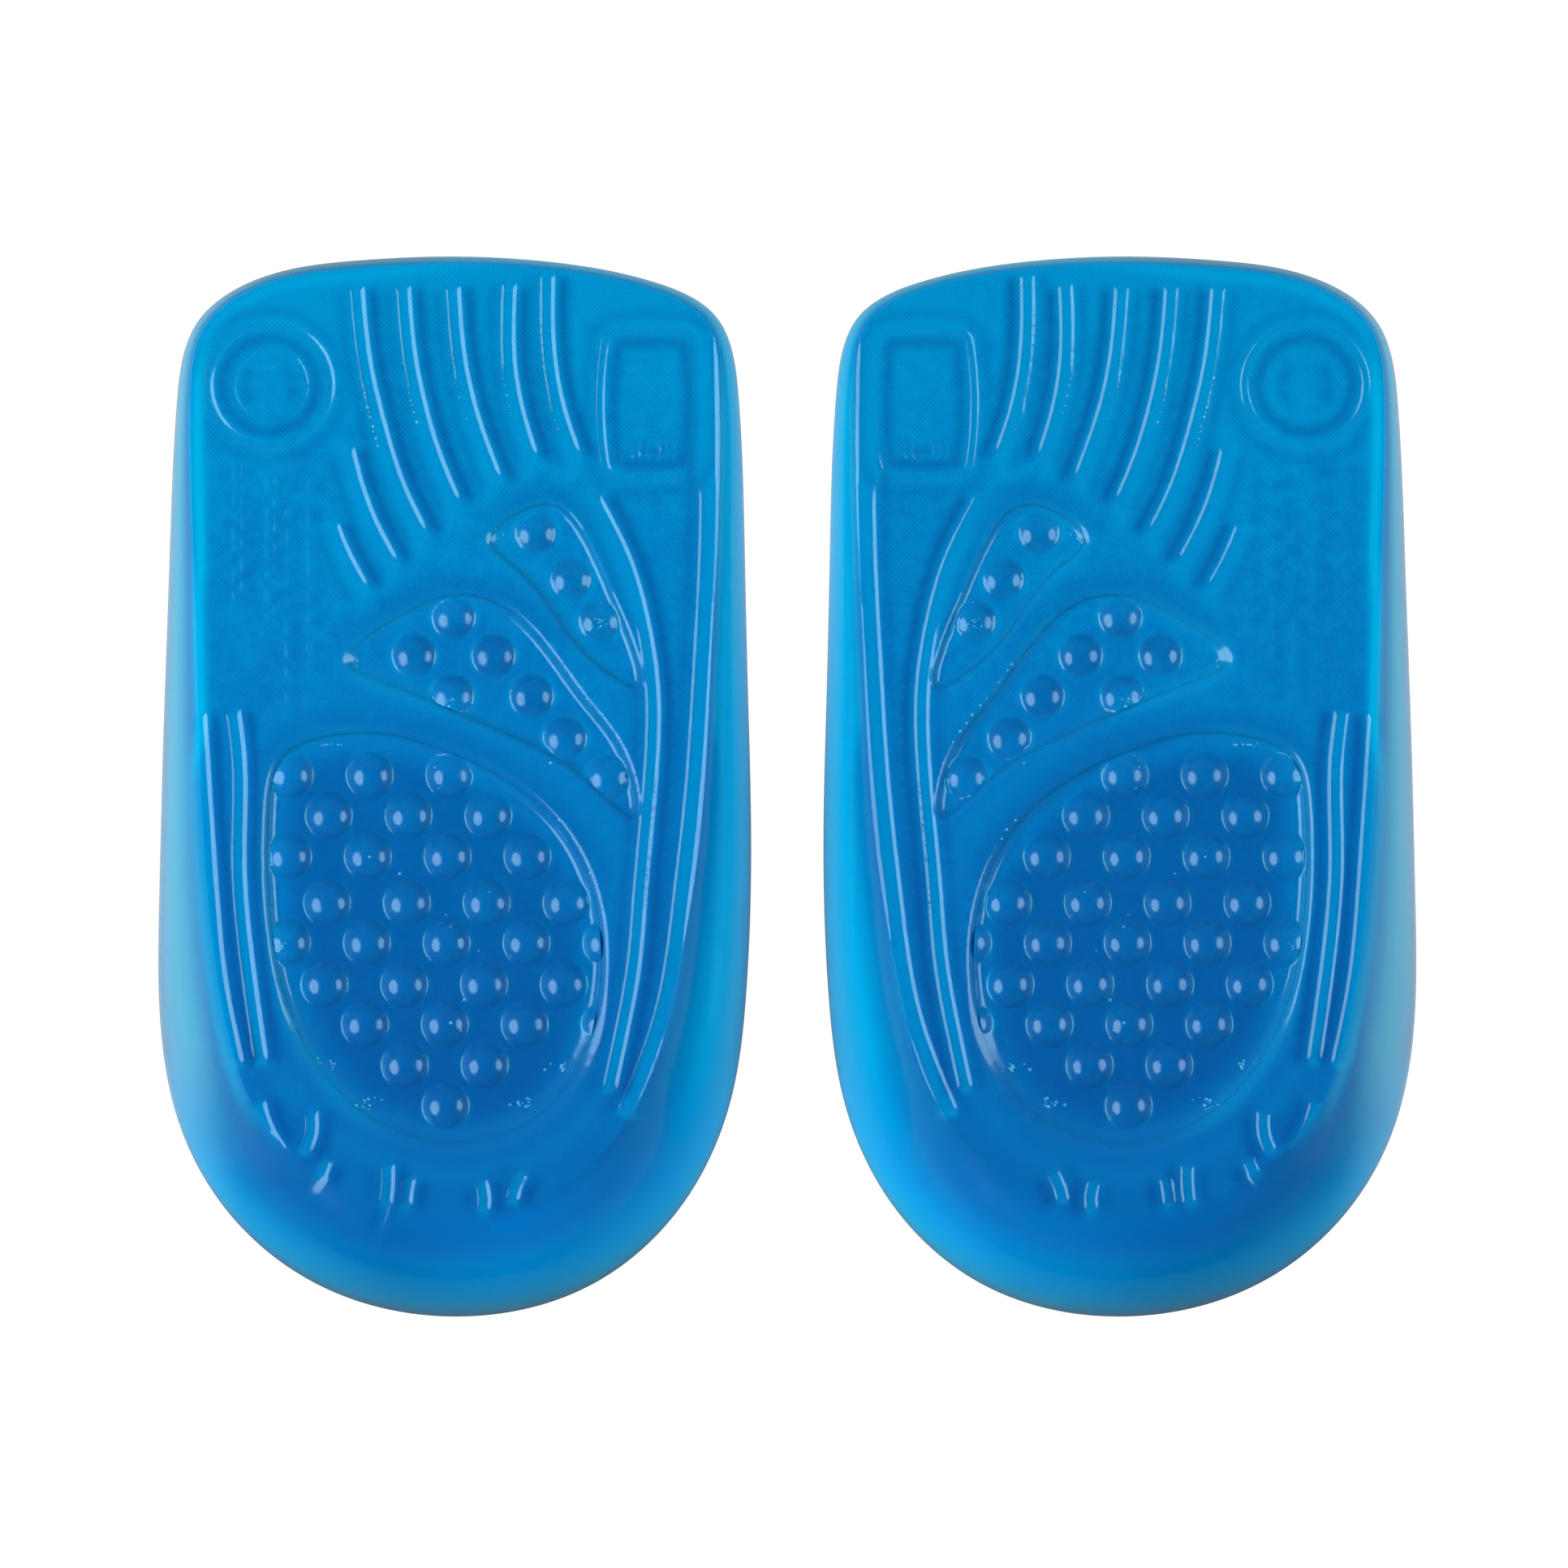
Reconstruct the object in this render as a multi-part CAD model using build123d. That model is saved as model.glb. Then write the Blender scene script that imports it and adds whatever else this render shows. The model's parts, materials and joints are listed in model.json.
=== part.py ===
from build123d import *
import os
from math import hypot, sqrt

# A left and right pair of heel-to-arch gel insoles, lying sole face up on their rims.
# X runs across the pair, Y points to the front (arch) edge and Z is up.
# The origin is on the floor at the middle of the pair.

# ---- Driving dimensions, millimetres ----
INSOLE_LENGTH = 128.0
PAIR_SPACING = 80.3         # between the centre lines of the two insoles
HEEL_HEIGHT = 18.0          # rim to sole face at the back edge
FRONT_HEIGHT = 2.8          # rim to sole face at the front edge
HEEL_GEL = 6.0              # gel between foot bed and sole face at the back edge
FRONT_GEL = 1.6             # the same at the front edge
RIM_WIDTH = 1.3             # width of the cup's rim
FOOTBED_ROUND = 3.0         # how far the foot bed's corner is rounded inwards
COVER_THICKNESS = 0.6       # fabric top cover, glued to the foot bed
COVER_EDGE_LIFT = 0.3       # the cover stops this far short of the rim

POCKET_DEPTH = {"heel": 2.6, "midfoot": 2.3, "arch": 2.1}
PAD_THICKNESS = 1.2         # flat web of a soft pad, below its nubs
NUB_RADIUS = 2.9
NUB_GAP = 0.15              # nub tops stay this far below the sole face
NUB_PITCH = 9.6             # across a row

GROOVE_WIDTH = 1.5
GROOVE_DEPTH = 0.5
NOTCH_WIDTH = 1.0
CUT_MARGIN = 2.0            # how far a cutter runs past the face it cuts
SHEET_REACH = 45.0          # half width of the wedges, past the insole's sides

# How full the side wall is: 1 rounds it over into the sole face without a crease.
WALL_FULLNESS = 0.96
WALL_LEVELS = (0.0, 0.3, 0.55, 0.8, 1.0)

# Rim outline of the left insole, anticlockwise from the front: x, y, and how far the
# sole face's edge is set in from the rim there.
RIM = (
    (0.0, 64.0, 1.0),
    (-12.0, 63.5, 1.0),
    (-24.0, 61.2, 1.0),
    (-31.0, 56.2, 1.2),
    (-33.6, 46.0, 1.8),
    (-34.5, 26.0, 3.2),
    (-35.2, 6.0, 4.5),
    (-35.7, -14.0, 6.2),
    (-35.6, -28.0, 8.0),
    (-33.0, -41.5, 9.5),
    (-27.2, -51.6, 11.0),
    (-16.8, -60.0, 12.4),
    (0.0, -64.0, 12.8),
    (16.8, -60.0, 12.4),
    (27.4, -50.6, 11.6),
    (33.2, -38.4, 10.2),
    (35.2, -25.0, 8.6),
    (35.8, -8.0, 6.4),
    (35.4, 12.0, 4.6),
    (35.0, 30.0, 3.5),
    (34.3, 47.0, 2.5),
    (31.6, 56.7, 1.4),
    (23.5, 61.1, 1.0),
    (12.0, 63.3, 1.0),
)

# Outlines of the three recessed pads.
PAD_OUTLINES = {
    "heel": (
        (-15.0, 6.0), (-20.4, 3.6), (-22.2, -3.0), (-22.3, -10.0), (-21.4, -20.0),
        (-18.2, -30.4), (-11.0, -39.0), (-1.5, -42.6), (8.0, -40.8), (14.8, -34.0),
        (17.6, -24.0), (17.3, -15.5), (13.0, -5.4), (6.0, 0.8), (-1.0, 4.2), (-8.0, 6.2),
    ),
    "midfoot": (
        (-1.0, 22.8), (-6.6, 20.4), (-12.6, 14.8), (-8.6, 12.6), (-1.0, 9.6),
        (8.0, 5.6), (16.0, 0.8), (21.6, -3.4), (21.0, 2.0), (15.6, 10.4), (8.6, 19.4),
        (3.6, 22.6),
    ),
    "arch": (
        (4.4, 29.6), (7.4, 26.4), (12.6, 20.0), (18.4, 13.8), (21.8, 12.0),
        (20.0, 20.4), (16.4, 28.7), (12.0, 33.8), (8.2, 33.2),
    ),
}

# Rows of nubs on each pad: y, x of the first nub, and how many. The pad's outline trims
# the ones that reach past it.
NUB_ROWS = {
    "heel": (
        (-38.4, -0.9, 1), (-33.5, -5.8, 2), (-28.6, -10.6, 4), (-23.8, -15.5, 4),
        (-18.8, -20.0, 5), (-14.0, -15.2, 4), (-8.4, -19.9, 4), (-3.5, -15.0, 3),
        (1.4, -19.7, 3),
    ),
    "midfoot": (
        (1.1, 18.6, 1), (5.8, 13.4, 1), (10.9, -0.2, 2), (15.8, -4.8, 2), (20.4, 0.0, 1),
    ),
    "arch": ((19.9, 17.5, 1), (25.0, 14.1, 1), (30.6, 9.8, 1)),
}

# Centre lines of the grip grooves: the fan of ribs at the front, then the long lines
# down each side.
GROOVES = (
    ((-11.8, 60.1), (-10.9, 51.6), (-9.0, 43.3), (-6.3, 35.2), (-3.4, 29.5)),
    ((-6.2, 60.2), (-5.4, 51.8), (-4.3, 46.4), (-1.9, 38.6), (0.5, 33.2)),
    ((-0.2, 60.2), (0.6, 51.4), (2.3, 44.2), (5.4, 35.9)),
    ((6.6, 60.5), (6.5, 52.4), (7.7, 44.8), (9.7, 38.6)),
    ((11.2, 61.6), (11.3, 53.2), (12.6, 45.4), (14.9, 38.8)),
    ((-12.9, 40.5), (-11.5, 35.5), (-9.5, 30.6), (-6.9, 26.0)),
    ((-14.7, 31.4), (-12.8, 27.0), (-10.4, 22.9)),
    ((17.0, 34.4), (20.6, 27.1), (22.8, 19.3), (23.9, 11.4), (23.8, 3.3), (22.4, -12.9),
     (21.6, -21.8), (20.3, -29.0), (18.6, -37.0)),
    ((30.5, 54.0), (30.7, 40.5), (30.5, 26.9), (29.8, 13.3), (28.9, -0.2), (27.4, -13.8),
     (25.2, -27.2), (20.4, -39.8)),
    ((-30.7, 8.7), (-29.9, -3.0), (-29.1, -14.0), (-28.3, -22.0), (-25.9, -34.0)),
    ((-26.6, 9.0), (-25.9, 3.0), (-25.9, -8.8), (-25.1, -19.3), (-23.1, -33.6)),
)

# Short notches round the heel, each from its front end to its back end.
NOTCHES = (
    ((-23.4, -37.9), (-22.6, -40.6), (-20.6, -44.0)),
    ((-17.1, -39.2), (-17.1, -41.6), (-18.1, -44.2)),
    ((-15.2, -44.9), (-15.9, -46.7), (-15.9, -48.2)),
    ((-7.9, -45.5), (-7.9, -47.8), (-8.2, -50.5)),
    ((-5.3, -47.0), (-5.6, -48.6), (-5.8, -50.6)),
    ((3.3, -47.5), (3.7, -49.4), (3.5, -51.2)),
    ((8.3, -46.4), (7.4, -48.3), (7.0, -50.2)),
)


def along_length(heel, front, y):
    """A value that changes evenly from the back edge to the front edge."""
    return heel + (front - heel) * (y / INSOLE_LENGTH + 0.5)


def sole_height(y):
    return along_length(HEEL_HEIGHT, FRONT_HEIGHT, y)


def footbed_height(y):
    return sole_height(y) - along_length(HEEL_GEL, FRONT_GEL, y)


def wall_lean(level):
    """Share of the sole edge's setback that the wall has reached at this level."""
    def lean(share):
        return 1 - sqrt(1 - (WALL_FULLNESS * share) ** 2)
    return lean(level) / lean(1)


def inset_outline(extra, level):
    """Rim points moved inwards by the wall's lean at this level, plus extra."""
    moved = []
    for index, (x, y, setback) in enumerate(RIM):
        x_before, y_before, _ = RIM[index - 1]
        x_after, y_after, _ = RIM[(index + 1) % len(RIM)]
        along = (x_after - x_before, y_after - y_before)
        length = hypot(*along)
        step = extra + setback * wall_lean(level)
        moved.append((x - along[1] / length * step, y + along[0] / length * step))
    return moved


def section(points, height):
    """Closed smooth face through the points, lying on the slope height(y)."""
    return make_face(Spline([(x, y, height(y)) for x, y in points], periodic=True))


def outer_form():
    """The whole cup as if it were solid: rim plane below, sole face above."""
    def at_level(level):
        return section(inset_outline(0, level), lambda y: level * sole_height(y))
    return loft([at_level(level) for level in WALL_LEVELS])


def foot_space(clearance):
    """The hollow for the heel, drawn in from the gel's foot side by clearance."""
    def at_level(level):
        depth_share = level * footbed_height(-INSOLE_LENGTH / 2) / HEEL_HEIGHT
        inset = RIM_WIDTH + clearance + FOOTBED_ROUND * wall_lean(level)
        return section(
            inset_outline(inset, depth_share),
            lambda y: level * (footbed_height(y) - clearance),
        )
    return loft([at_level(level) for level in WALL_LEVELS])


def wedge(bottom, top):
    """Everything between two slopes, each given as a distance from the sole face."""
    half = INSOLE_LENGTH / 2
    corners = [
        (-half, sole_height(-half) + bottom), (half, sole_height(half) + bottom),
        (half, sole_height(half) + top), (-half, sole_height(-half) + top),
    ]
    profile = Plane.YZ * make_face(Polyline(corners, close=True))
    return extrude(profile, SHEET_REACH, both=True)


def prism(face):
    """A plan outline drawn up through the whole thickness."""
    return extrude(face, HEEL_HEIGHT + CUT_MARGIN)


def pad_prism(name):
    return prism(make_face(Spline(*PAD_OUTLINES[name], periodic=True)))


def grooves():
    """Everything pressed into the sole face as a narrow line."""
    traces = [trace(Spline(*line), GROOVE_WIDTH) for line in GROOVES]
    traces += [trace(Spline(*line), NOTCH_WIDTH) for line in NOTCHES]
    return Compound([prism(shape) for shape in traces]) & wedge(-GROOVE_DEPTH, CUT_MARGIN)


def nub_centres(name):
    for y, first_x, count in NUB_ROWS[name]:
        for column in range(count):
            yield first_x + column * NUB_PITCH, y


def pad(name):
    """A soft pad: a flat web with domed nubs, trimmed to the pocket it fills."""
    depth = POCKET_DEPTH[name]
    rise = depth - PAD_THICKNESS - NUB_GAP
    dome_radius = (NUB_RADIUS ** 2 + rise ** 2) / (2 * rise)
    domes = []
    for x, y in nub_centres(name):
        top = sole_height(y) - NUB_GAP
        domes.append(Pos(x, y, top - dome_radius) * Sphere(dome_radius))
    outline = pad_prism(name)
    web = outline & wedge(-depth, PAD_THICKNESS - depth)
    nubs = outline & wedge(-depth, 0) & (domes[0] + domes[1:])
    return web + nubs


def gel_body():
    body = outer_form() - foot_space(0)
    for name, depth in POCKET_DEPTH.items():
        body -= pad_prism(name) & wedge(-depth, CUT_MARGIN)
    return body - grooves()


def top_cover():
    """Thin fabric lining of the foot side, ending just inside the rim."""
    lining = foot_space(0) - foot_space(COVER_THICKNESS)
    size = 3 * INSOLE_LENGTH
    above_rim = Pos(0, 0, COVER_EDGE_LIFT + size / 2) * Box(size, size, size)
    return lining & above_rim


def left_insole():
    pieces = {"gel_body": gel_body(), "top_cover": top_cover()}
    for name in POCKET_DEPTH:
        pieces[name + "_pad"] = pad(name)
    return pieces


def main():
    os.makedirs("parts", exist_ok=True)
    for name, piece in left_insole().items():
        left = Pos(-PAIR_SPACING / 2, 0, 0) * piece
        right = mirror(left, about=Plane.YZ)
        export_step(left, f"parts/left_{name}.step")
        export_step(right, f"parts/right_{name}.step")


main()
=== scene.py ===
import json
import bmesh
import bpy
import numpy as np
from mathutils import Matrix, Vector
from mathutils.geometry import delaunay_2d_cdt


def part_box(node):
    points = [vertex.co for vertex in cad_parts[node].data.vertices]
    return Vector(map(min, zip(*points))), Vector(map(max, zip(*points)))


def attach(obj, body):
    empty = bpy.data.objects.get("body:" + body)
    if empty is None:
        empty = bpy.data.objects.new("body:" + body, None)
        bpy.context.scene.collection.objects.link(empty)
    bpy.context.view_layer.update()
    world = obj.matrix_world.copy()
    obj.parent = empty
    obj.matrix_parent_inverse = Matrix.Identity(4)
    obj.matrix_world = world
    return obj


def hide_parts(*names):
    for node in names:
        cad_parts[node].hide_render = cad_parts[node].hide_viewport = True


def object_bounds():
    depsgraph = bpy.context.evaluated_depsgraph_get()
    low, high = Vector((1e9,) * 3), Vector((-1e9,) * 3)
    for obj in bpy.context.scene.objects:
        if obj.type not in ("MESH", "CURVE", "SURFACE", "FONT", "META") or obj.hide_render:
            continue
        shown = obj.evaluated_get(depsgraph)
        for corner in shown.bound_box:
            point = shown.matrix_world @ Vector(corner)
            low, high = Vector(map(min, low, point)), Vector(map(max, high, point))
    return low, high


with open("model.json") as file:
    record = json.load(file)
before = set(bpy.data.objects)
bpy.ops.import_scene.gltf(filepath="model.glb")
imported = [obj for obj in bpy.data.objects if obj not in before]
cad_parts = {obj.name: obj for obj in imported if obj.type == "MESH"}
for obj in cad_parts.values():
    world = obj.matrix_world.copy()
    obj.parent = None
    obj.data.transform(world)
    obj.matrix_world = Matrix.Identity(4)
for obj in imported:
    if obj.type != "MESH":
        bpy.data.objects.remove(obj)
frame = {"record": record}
cad_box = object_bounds()
record = frame["record"]

# The insoles' shapes are worked out in millimetres, on the left insole, with its middle at x = 0.
MM = 0.001
SIDES = {"left": 1, "right": -1}


# ---- Places that come from the frame ----

body_low, body_high = (np.array(corner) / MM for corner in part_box("left_gel_body"))
LEFT_MIDDLE = (body_low[0] + body_high[0]) / 2
BACK_Y, FRONT_Y = body_low[1], body_high[1]
LENGTH = FRONT_Y - BACK_Y
sole_mount = next(m for m in record["mounts"] if m["name"] == "left_sole_face")
SOLE_POINT = np.array(sole_mount["pos_m"]) / MM
SOLE_SLOPE = -sole_mount["axis"][1] / sole_mount["axis"][2]


def sole_height(y):
    """Height of the flat sole face, which slopes down to the front edge."""
    return SOLE_POINT[2] + SOLE_SLOPE * (y - SOLE_POINT[1])


HEEL_GEL, FRONT_GEL = 6.0, 1.6


def gel_thickness(y):
    return HEEL_GEL + (FRONT_GEL - HEEL_GEL) * (y - BACK_Y) / LENGTH


def footbed_height(y):
    return sole_height(y) - gel_thickness(y)


# ---- Outlines, as in the CAD ----

RIM_WIDTH = 1.3
RIM_ROUND = 0.35
FOOTBED_ROUND = 3.0
FOOT_WALL_FULLNESS = 0.96
COVER_THICKNESS = 0.6
COVER_EDGE_LIFT = 0.3
GLUE_GAP = 0.03

# Rim outline, anticlockwise from the front: x, y, the sole edge's setback, and the
# fullness of the wall between them, from 0 for a flat slope to 1 for a quarter round.
RIM = (
    (0.0, 64.0, 1.0, 0.70), (-12.0, 63.5, 1.0, 0.70), (-24.0, 61.2, 1.0, 0.70),
    (-31.0, 56.2, 1.2, 0.68), (-33.6, 46.0, 1.8, 0.65), (-34.5, 26.0, 3.2, 0.58),
    (-35.2, 6.0, 4.5, 0.56), (-35.7, -14.0, 6.2, 0.51), (-35.6, -28.0, 8.0, 0.44),
    (-33.0, -41.5, 9.5, 0.42), (-27.2, -51.6, 11.0, 0.56), (-16.8, -60.0, 12.4, 0.93),
    (0.0, -64.0, 12.8, 1.0), (16.8, -60.0, 12.4, 0.93), (27.4, -50.6, 11.6, 0.56),
    (33.2, -38.4, 10.2, 0.42), (35.2, -25.0, 8.6, 0.44), (35.8, -8.0, 6.4, 0.51),
    (35.4, 12.0, 4.6, 0.56), (35.0, 30.0, 3.5, 0.58), (34.3, 47.0, 2.5, 0.65),
    (31.6, 56.7, 1.4, 0.68), (23.5, 61.1, 1.0, 0.70), (12.0, 63.3, 1.0, 0.70),
)

PAD_OUTLINES = {
    "heel": (
        (-15.0, 6.0), (-20.4, 3.6), (-22.2, -3.0), (-22.3, -10.0), (-21.4, -20.0),
        (-18.2, -30.4), (-11.0, -39.0), (-1.5, -42.6), (8.0, -40.8), (14.8, -34.0),
        (17.6, -24.0), (17.3, -15.5), (13.0, -5.4), (6.0, 0.8), (-1.0, 4.2), (-8.0, 6.2),
    ),
    "midfoot": (
        (-1.0, 22.8), (-6.6, 20.4), (-12.6, 14.8), (-8.6, 12.6), (-1.0, 9.6),
        (8.0, 5.6), (16.0, 0.8), (21.6, -3.4), (21.0, 2.0), (15.6, 10.4), (8.6, 19.4),
        (3.6, 22.6),
    ),
    "arch": (
        (4.4, 29.6), (7.4, 26.4), (12.6, 20.0), (18.4, 13.8), (21.8, 12.0),
        (20.0, 20.4), (16.4, 28.7), (12.0, 33.8), (8.2, 33.2),
    ),
}

# Rows of nubs on each pad: y, x of the first nub, and how many. The pad's outline trims
# the ones that reach past it.
NUB_ROWS = {
    "heel": (
        (-38.4, -0.9, 1), (-33.5, -5.8, 2), (-28.6, -10.6, 4), (-23.8, -15.5, 4),
        (-18.8, -20.0, 5), (-14.0, -15.2, 4), (-8.4, -19.9, 4), (-3.5, -15.0, 3),
        (1.4, -19.7, 3),
    ),
    "midfoot": (
        (1.1, 18.6, 1), (5.8, 13.4, 1), (10.9, -0.2, 2), (15.8, -4.8, 2), (20.4, 0.0, 1),
    ),
    "arch": ((19.9, 17.5, 1), (25.0, 14.1, 1), (30.6, 9.8, 1)),
}
POCKET_DEPTH = {"heel": 2.6, "midfoot": 2.3, "arch": 2.1}
PAD_THICKNESS = 1.2
# Width of the slope from the sole face down to each pad, on most sides and on the gentle
# side, and the direction of the gentle side.
SLOPE_WIDTH = {"heel": (2.7, 5.0), "midfoot": (2.2, 3.4), "arch": (1.9, 2.9)}
GENTLE_SIDE = {"heel": (0, -1), "midfoot": (-1, 0), "arch": (-1, 0)}

# Nubs: spherical domes with a small fillet at the foot.
NUB_PITCH = 9.6
NUB_SPHERE = 3.6
NUB_LEAN = {"heel": np.radians(48), "midfoot": np.radians(44), "arch": np.radians(40)}
NUB_FILLET = 0.45
# How dark the gel looks on each pad's web and on its nubs.
PAD_SHADES = {"heel": (0.85, 0.55), "midfoot": (0.22, 0.65), "arch": (0.20, 0.70)}

# Grip lines pressed into the sole face, front end first. half is the distance from the
# centre line to the middle of a wall. open is where the inner wall starts and finishes
# opening out into a ramp, by the ramp's width, and fade how far the back end runs out.
RIB = {"half": 0.72, "depth": 0.26, "wall": 0.85, "open": (0.35, 0.75), "ramp": 3.2, "fade": 3.0}
SHORT_RIB = {**RIB, "open": (-0.3, 0.1)}
LONG = {"half": 0.74, "depth": 0.26, "wall": 0.85, "open": None, "ramp": 3.2, "fade": 1.5}
GRIP_LINES = (
    (((-11.8, 60.1), (-10.9, 51.6), (-9.0, 43.3), (-6.3, 35.2), (-3.4, 29.5)), RIB),
    (((-6.2, 60.2), (-5.4, 51.8), (-4.3, 46.4), (-1.9, 38.6), (0.5, 33.2)), RIB),
    (((-0.2, 60.2), (0.6, 51.4), (2.3, 44.2), (5.4, 35.9)), RIB),
    (((6.6, 60.5), (6.5, 52.4), (7.7, 44.8), (9.7, 38.6)), RIB),
    (((11.2, 61.6), (11.3, 53.2), (12.6, 45.4), (14.9, 38.8)), {**RIB, "open": (0.6, 0.95)}),
    (((-12.9, 40.5), (-11.5, 35.5), (-9.5, 30.6), (-6.9, 26.0)), SHORT_RIB),
    (((-14.7, 31.4), (-12.8, 27.0), (-10.4, 22.9)), SHORT_RIB),
    (((17.0, 34.4), (20.6, 27.1), (22.8, 19.3), (23.9, 11.4), (23.8, 3.3), (22.4, -12.9),
      (21.6, -21.8), (20.3, -29.0), (18.6, -37.0)), {**LONG, "open": (0.24, 0.12)}),
    (((30.5, 54.0), (30.7, 40.5), (30.5, 26.9), (29.8, 13.3), (28.9, -0.2), (27.4, -13.8),
      (25.2, -27.2), (20.4, -39.8)), {**LONG, "half": 0.98, "open": (0.21, 0.16), "ramp": 1.2}),
    (((-30.7, 8.7), (-29.9, -3.0), (-29.1, -14.0), (-28.3, -22.0), (-25.9, -34.0)), LONG),
    (((-26.6, 9.0), (-25.9, 3.0), (-25.9, -8.8), (-25.1, -19.3), (-23.1, -33.6)), LONG),
)

# Short notches round the heel.
NOTCH = {"half": 0.68, "depth": 0.22, "wall": 0.80, "open": None, "fade": 0.8}
NOTCHES = (
    ((-23.4, -37.9), (-22.6, -40.6), (-20.6, -44.0)),
    ((-17.1, -39.2), (-17.1, -41.6), (-18.1, -44.2)),
    ((-15.2, -44.9), (-15.9, -46.7), (-15.9, -48.2)),
    ((-7.9, -45.5), (-7.9, -47.8), (-8.2, -50.5)),
    ((-5.3, -47.0), (-5.6, -48.6), (-5.8, -50.6)),
    ((3.3, -47.5), (3.7, -49.4), (3.5, -51.2)),
    ((8.3, -46.4), (7.4, -48.3), (7.0, -50.2)),
)

WALL_ROWS = 30
FOOT_WALL_ROWS = 14
AROUND = 720

# How far from a line its offsets are measured. FAR is the offset given to points beyond.
GROOVE_REACH, PAD_REACH, EDGE_REACH = 6, 8, 200
FAR = 1e3


# ---- Curves and fields ----

SPLINE_STEPS = 40
BLOCK = 4000            # points measured at a time, to save memory


def smooth(value):
    """Eased step from 0 to 1 with level ends."""
    v = np.clip(value, 0, 1)
    return v * v * v * (v * (6 * v - 15) + 10)


def spline(points, count=None, spacing=None, closed=False):
    """Cubic spline through the points, as evenly spaced samples."""
    knots = np.array(points, float)
    if closed:
        knots = np.vstack([knots, knots[:1]])
    run = np.linalg.norm(np.diff(knots[:, :2], axis=0), axis=1)
    last = len(run)
    system, right = np.zeros((last + 1, last + 1)), np.zeros_like(knots)
    rises = np.diff(knots, axis=0) / run[:, None]
    for i in range(1, last):
        system[i, i - 1:i + 2] = run[i - 1], 2 * (run[i - 1] + run[i]), run[i]
        right[i] = 6 * (rises[i] - rises[i - 1])
    if closed:
        system[0, 0], system[0, last] = 1, -1
        system[last, 0], system[last, 1] = 2 * (run[-1] + run[0]), run[0]
        system[last, last - 1] = run[-1]
        right[last] = 6 * (rises[0] - rises[-1])
    else:
        system[0, 0] = system[last, last] = 1
    bend = np.linalg.solve(system, right)
    fine = []
    for i in range(last):
        t = np.linspace(0, 1, SPLINE_STEPS, endpoint=False)[:, None]
        curve = (1 - t) * knots[i] + t * knots[i + 1]
        pull = ((1 - t) ** 3 - (1 - t)) * bend[i] + (t ** 3 - t) * bend[i + 1]
        fine.append(curve + pull * run[i] ** 2 / 6)
    fine = np.vstack(fine + [knots[-1:]])
    along = np.r_[0, np.cumsum(np.linalg.norm(np.diff(fine[:, :2], axis=0), axis=1))]
    if count is None:
        count = max(4, round(along[-1] / spacing)) + (0 if closed else 1)
    stops = np.linspace(0, along[-1], count, endpoint=not closed)
    return np.column_stack([np.interp(stops, along, column) for column in fine.T])


def directions(line, closed):
    """Unit tangents and left-hand normals of a sampled line."""
    if closed:
        tangent = np.roll(line, -1, 0) - np.roll(line, 1, 0)
    else:
        tangent = np.gradient(line, axis=0)
    tangent = tangent / np.linalg.norm(tangent, axis=1)[:, None]
    return tangent, np.column_stack([-tangent[:, 1], tangent[:, 0]])


class Line:
    """A sampled plan line that can say how far points are from it."""

    def __init__(self, points, closed=False, spacing=0.3):
        self.closed = closed
        self.samples = spline(points, spacing=spacing, closed=closed)
        self.tangent, self.normal = directions(self.samples, closed)
        steps = np.linalg.norm(np.diff(self.samples, axis=0), axis=1)
        self.along = np.r_[0, np.cumsum(steps)]
        self.length = self.along[-1]

    def measure(self, points, reach):
        """Offset to the left and distance along, or far away beyond reach."""
        offset = np.full(len(points), FAR)
        along = np.zeros(len(points))
        low, high = self.samples.min(0) - reach, self.samples.max(0) + reach
        near = np.flatnonzero(((points > low) & (points < high)).all(1))
        for start in range(0, len(near), BLOCK):
            rows = near[start:start + BLOCK]
            block = points[rows]
            gap = ((block[:, None] - self.samples[None]) ** 2).sum(2)
            i = gap.argmin(1)
            step = block - self.samples[i]
            offset[rows] = (step * self.normal[i]).sum(1)
            along[rows] = self.along[i] + (step * self.tangent[i]).sum(1)
        return offset, along

    def rows(self, offsets):
        """Points beside the line at each offset, for a mesh that follows it."""
        return np.vstack([self.samples + self.normal * offset for offset in offsets])


def rounded_frame(middle, half_width, half_height, corner):
    """Corner-rounded rectangle as points, anticlockwise."""
    points = []
    for quarter, (sx, sy) in enumerate(((1, 1), (-1, 1), (-1, -1), (1, -1))):
        centre = (middle[0] + sx * (half_width - corner), middle[1] + sy * (half_height - corner))
        for angle in np.radians(np.array((0, 30, 60, 90)) + 90 * quarter):
            points.append((centre[0] + corner * np.cos(angle), centre[1] + corner * np.sin(angle)))
    return points


# ---- The shape of one insole's sole side ----

PADS = {name: Line(points, closed=True) for name, points in PAD_OUTLINES.items()}
GROOVES = [(Line(points), style) for points, style in GRIP_LINES]
GROOVES += [(Line(points), NOTCH) for points in NOTCHES]

# A plain ring, a plain rounded frame and rows of plain dashes take the places of the
# maker's marks.
RING_MIDDLE, RING_RADIUS, RING_ARC_RADIUS = (-22.3, 48.4), 7.35, 4.4
FRAME_MIDDLE, FRAME_HALVES, FRAME_CORNER = (23.7, 46.2), (5.6, 8.8), 1.8
TICK_RADIUS, TICK_Y = 2.6, 40.4
MARK = {"half": 0.42, "depth": 0.19, "wall": 0.72, "open": None, "fade": 1.0}
FAINT = {"half": 0.26, "depth": 0.11, "wall": 0.46, "open": None, "fade": 0.4}
# Columns of dashes: x, first and last y.
DASH_COLUMNS = (
    (-26.9, 39.0, 21.0), (-25.9, 39.0, 24.0), (-22.9, 36.6, 19.2), (-21.9, 37.6, 19.0),
    (-20.5, 36.9, 9.6), (-17.9, 36.9, 14.0),
)


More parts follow.
